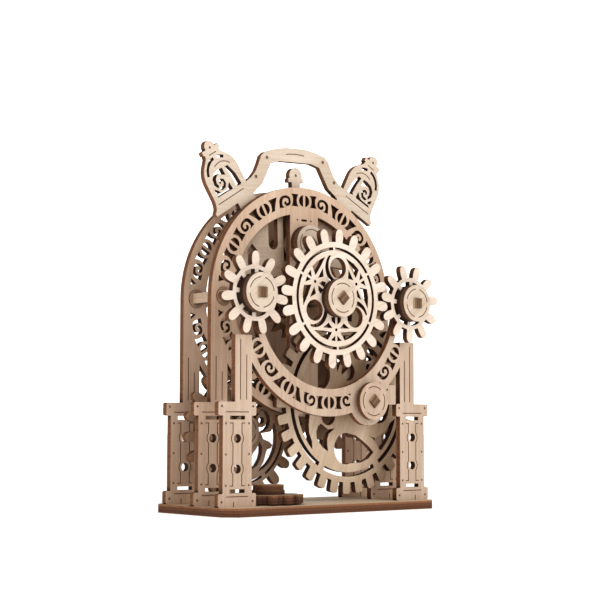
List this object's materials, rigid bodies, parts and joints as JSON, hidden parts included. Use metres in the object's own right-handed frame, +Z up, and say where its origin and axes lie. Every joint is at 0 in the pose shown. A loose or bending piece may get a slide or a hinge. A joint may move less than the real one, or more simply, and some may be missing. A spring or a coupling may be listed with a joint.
{
  "type": "wooden clockwork puzzle model",
  "caption": "Laser-cut plywood model of an arched twin-bell alarm clock: frames on a base, gears on square axles that turn together, and a rocking crown with bells and a handle.",
  "frame": {"origin": "middle of the base plate's underside", "axes": "+X to the right seen from the front, +Y to the back, +Z up"},
  "size_m": [0.1373, 0.0632, 0.1781],
  "materials": {
    "pale_ply": "raw birch plywood, laser cut, burnt edges",
    "inner_ply": "raw birch plywood, laser cut, in the shade",
    "axle_ply": "raw plywood strip with darker cut faces"
  },
  "bodies": {
    "stand": {"base_plate": "pale_ply", "front_frame": "pale_ply", "middle_frame": "pale_ply", "rear_frame": "pale_ply", "thumb_wheel_peg": "axle_ply"},
    "crown": {"crown_plate": "pale_ply", "crown_axle_left_strip": "axle_ply", "crown_axle_right_strip": "axle_ply", "crown_front_disc": "pale_ply", "crown_inner_disc": "pale_ply", "crown_rear_disc": "pale_ply", "crown_anchor": "inner_ply", "crown_spacers": "inner_ply"},
    "main_shaft": {"main_gear": "pale_ply", "main_front_disc": "pale_ply", "main_inner_disc": "pale_ply", "main_axle_upper_strip": "axle_ply", "main_axle_lower_strip": "axle_ply", "main_drive_pinion": "inner_ply", "main_escape_wheel": "pale_ply", "main_spacers": "inner_ply", "main_rear_disc": "pale_ply"},
    "left_shaft": {"left_pinion": "pale_ply", "left_front_disc": "pale_ply", "left_inner_disc": "pale_ply", "left_axle_upper_strip": "axle_ply", "left_axle_lower_strip": "axle_ply", "left_spacers": "inner_ply", "left_rear_disc": "pale_ply"},
    "right_shaft": {"right_pinion": "pale_ply", "right_front_disc": "pale_ply", "right_inner_disc": "pale_ply", "right_axle_upper_strip": "axle_ply", "right_axle_lower_strip": "axle_ply", "right_spacers": "inner_ply", "right_rear_disc": "pale_ply"},
    "lower_shaft": {"lower_gear": "pale_ply", "lower_knob_disc": "pale_ply", "lower_axle_upper_strip": "axle_ply", "lower_axle_lower_strip": "axle_ply", "lower_pinion": "inner_ply", "lower_spacers": "inner_ply", "lower_rear_disc": "pale_ply"},
    "rear_shaft": {"rear_gear": "pale_ply", "rear_gear_disc": "pale_ply", "rear_axle_upper_strip": "axle_ply", "rear_axle_lower_strip": "axle_ply", "rear_bush": "inner_ply", "rear_stop_disc": "pale_ply"},
    "thumb_wheel": {"thumb_wheel": "inner_ply", "thumb_wheel_flange": "pale_ply", "thumb_wheel_cap": "pale_ply"}
  },
  "joints": [
    {"name": "lower_spin", "type": "hinge", "parent": "stand", "child": "lower_shaft", "pos_m": [0.0249, -0.0218, 0.0523], "axis": [0, 1, 0], "continuous": true},
    {"name": "main_spin", "type": "hinge", "parent": "stand", "child": "main_shaft", "pos_m": [0, -0.0218, 0.1005], "axis": [0, 1, 0], "continuous": true},
    {"name": "left_spin", "type": "hinge", "parent": "stand", "child": "left_shaft", "pos_m": [-0.0484, -0.0218, 0.1005], "axis": [0, 1, 0], "continuous": true},
    {"name": "right_spin", "type": "hinge", "parent": "stand", "child": "right_shaft", "pos_m": [0.0484, -0.0218, 0.1005], "axis": [0, 1, 0], "continuous": true},
    {"name": "rear_spin", "type": "hinge", "parent": "stand", "child": "rear_shaft", "pos_m": [-0.0278, 0.0182, 0.0379], "axis": [0, 1, 0], "continuous": true},
    {"name": "crown_rock", "type": "hinge", "parent": "stand", "child": "crown", "pos_m": [0, -0.0018, 0.1283], "axis": [0, 1, 0], "range_deg": [-0.8, 5.6]},
    {"name": "thumb_spin", "type": "hinge", "parent": "stand", "child": "thumb_wheel", "pos_m": [-0.027, -0.0098, 0.006], "axis": [0, 0, 1], "continuous": true}
  ],
  "couplings": [
    {"joint": "main_spin", "follows": "lower_spin", "ratio": -3.6667},
    {"joint": "left_spin", "follows": "lower_spin", "ratio": 6.6667},
    {"joint": "right_spin", "follows": "lower_spin", "ratio": 6.6667},
    {"joint": "rear_spin", "follows": "lower_spin", "ratio": -0.75}
  ]
}
